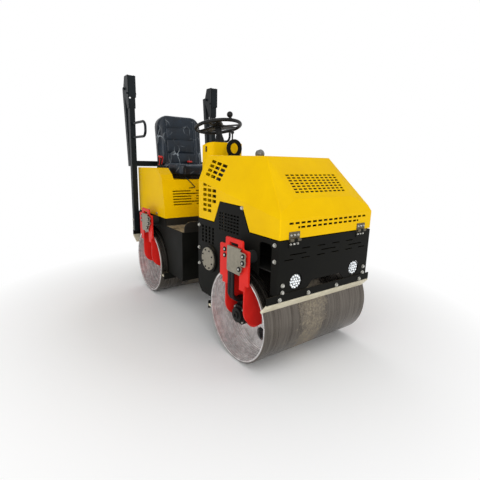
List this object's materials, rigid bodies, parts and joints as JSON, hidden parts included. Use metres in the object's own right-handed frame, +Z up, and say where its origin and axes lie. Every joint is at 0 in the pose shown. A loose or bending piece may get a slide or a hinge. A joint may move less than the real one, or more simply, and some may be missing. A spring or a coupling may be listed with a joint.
{
  "type": "tandem road roller",
  "caption": "Ride-on tandem road roller with smooth steel drums, an articulated frame, a tilting hood, a driver's seat and a folding roll bar, for compacting soil and asphalt.",
  "frame": {"origin": "on the ground, under the middle of the overall length and width", "axes": "+X forward to the hood's nose, +Y to the machine's left, +Z up"},
  "size_m": [2.3056, 0.984, 1.9899],
  "materials": {
    "yellow_paint": "semi-gloss",
    "black_paint": "satin",
    "red_paint": "semi-gloss",
    "drum_steel": "rolled",
    "zinc_steel": "galvanised",
    "rubber": "matte",
    "hose_rubber": "satin",
    "blade_plastic": "matte",
    "seat_vinyl": "vinyl",
    "lamp_lens": "clear",
    "engine_iron": "painted",
    "black_plastic": "grained"
  },
  "bodies": {
    "rear_frame": {"rear_yoke": "black_paint", "rear_side_plates": "black_paint", "rear_panel": "black_paint", "rear_deck": "black_paint", "rear_wall": "black_paint", "seat_box": "yellow_paint", "seat_base": "black_paint", "seat_cushion": "seat_vinyl", "seat_backrest": "seat_vinyl", "console": "yellow_paint", "steering_column": "black_plastic", "travel_lever": "black_plastic", "lifting_post": "black_paint", "rops_posts": "black_paint", "grab_handles": "black_paint", "rear_scraper_bars": "black_paint", "rear_scraper_blades": "blade_plastic", "rear_arms": "red_paint", "rear_rubber_mounts": "rubber", "rear_covers": "zinc_steel", "rear_drive_motor": "engine_iron", "rear_motor_hoses": "hose_rubber", "rear_bearing_hub": "zinc_steel"},
    "knuckle": {"centre_knuckle": "black_paint"},
    "front_frame": {"front_side_plates": "black_paint", "front_panel": "black_paint", "front_bulkhead": "black_paint", "front_deck": "black_paint", "front_tank": "black_paint", "front_lamps": "lamp_lens", "front_scraper_bars": "black_paint", "front_scraper_blades": "blade_plastic", "front_arms": "red_paint", "front_rubber_mounts": "rubber", "front_covers": "zinc_steel", "front_drive_motor": "engine_iron", "front_motor_hoses": "hose_rubber", "front_bearing_hub": "zinc_steel", "engine_block": "engine_iron", "tank_hatch_ring": "black_paint", "tank_hatch_cover": "zinc_steel", "hood_hinge_lower": "zinc_steel"},
    "hood": {"hood": "yellow_paint", "hood_hinge_upper": "zinc_steel", "hood_dome": "zinc_steel"},
    "front_drum": {"front_drum": "drum_steel"},
    "rear_drum": {"rear_drum": "drum_steel"},
    "rops_hoop": {"rops_hoop": "black_paint"},
    "steering_wheel": {"steering_wheel": "black_plastic"}
  },
  "joints": [
    {"name": "articulation", "type": "hinge", "parent": "rear_frame", "child": "knuckle", "pos_m": [0.09182, 0, 0.38], "axis": [0, 0, 1], "range_deg": [-30, 30]},
    {"name": "oscillation", "type": "hinge", "parent": "knuckle", "child": "front_frame", "pos_m": [0.21582, 0, 0.38], "axis": [1, 0, 0], "range_deg": [-8, 8]},
    {"name": "front_drum_spin", "type": "hinge", "parent": "front_frame", "child": "front_drum", "pos_m": [0.81682, 0, 0.3], "axis": [0, 1, 0], "continuous": true},
    {"name": "rear_drum_spin", "type": "hinge", "parent": "rear_frame", "child": "rear_drum", "pos_m": [-0.63318, 0, 0.3], "axis": [0, 1, 0], "continuous": true},
    {"name": "hood_open", "type": "hinge", "parent": "front_frame", "child": "hood", "pos_m": [1.14382, 0, 0.831], "axis": [0, 1, 0], "range_deg": [0, 65]},
    {"name": "rops_fold", "type": "hinge", "parent": "rear_frame", "child": "rops_hoop", "pos_m": [-1.04918, 0, 1.88], "axis": [0, 1, 0], "range_deg": [0, 186.2]},
    {"name": "steering_wheel_turn", "type": "hinge", "parent": "rear_frame", "child": "steering_wheel", "pos_m": [-0.13218, 0, 1.518], "axis": [-0.2181, 0, 0.9759], "continuous": true}
  ]
}
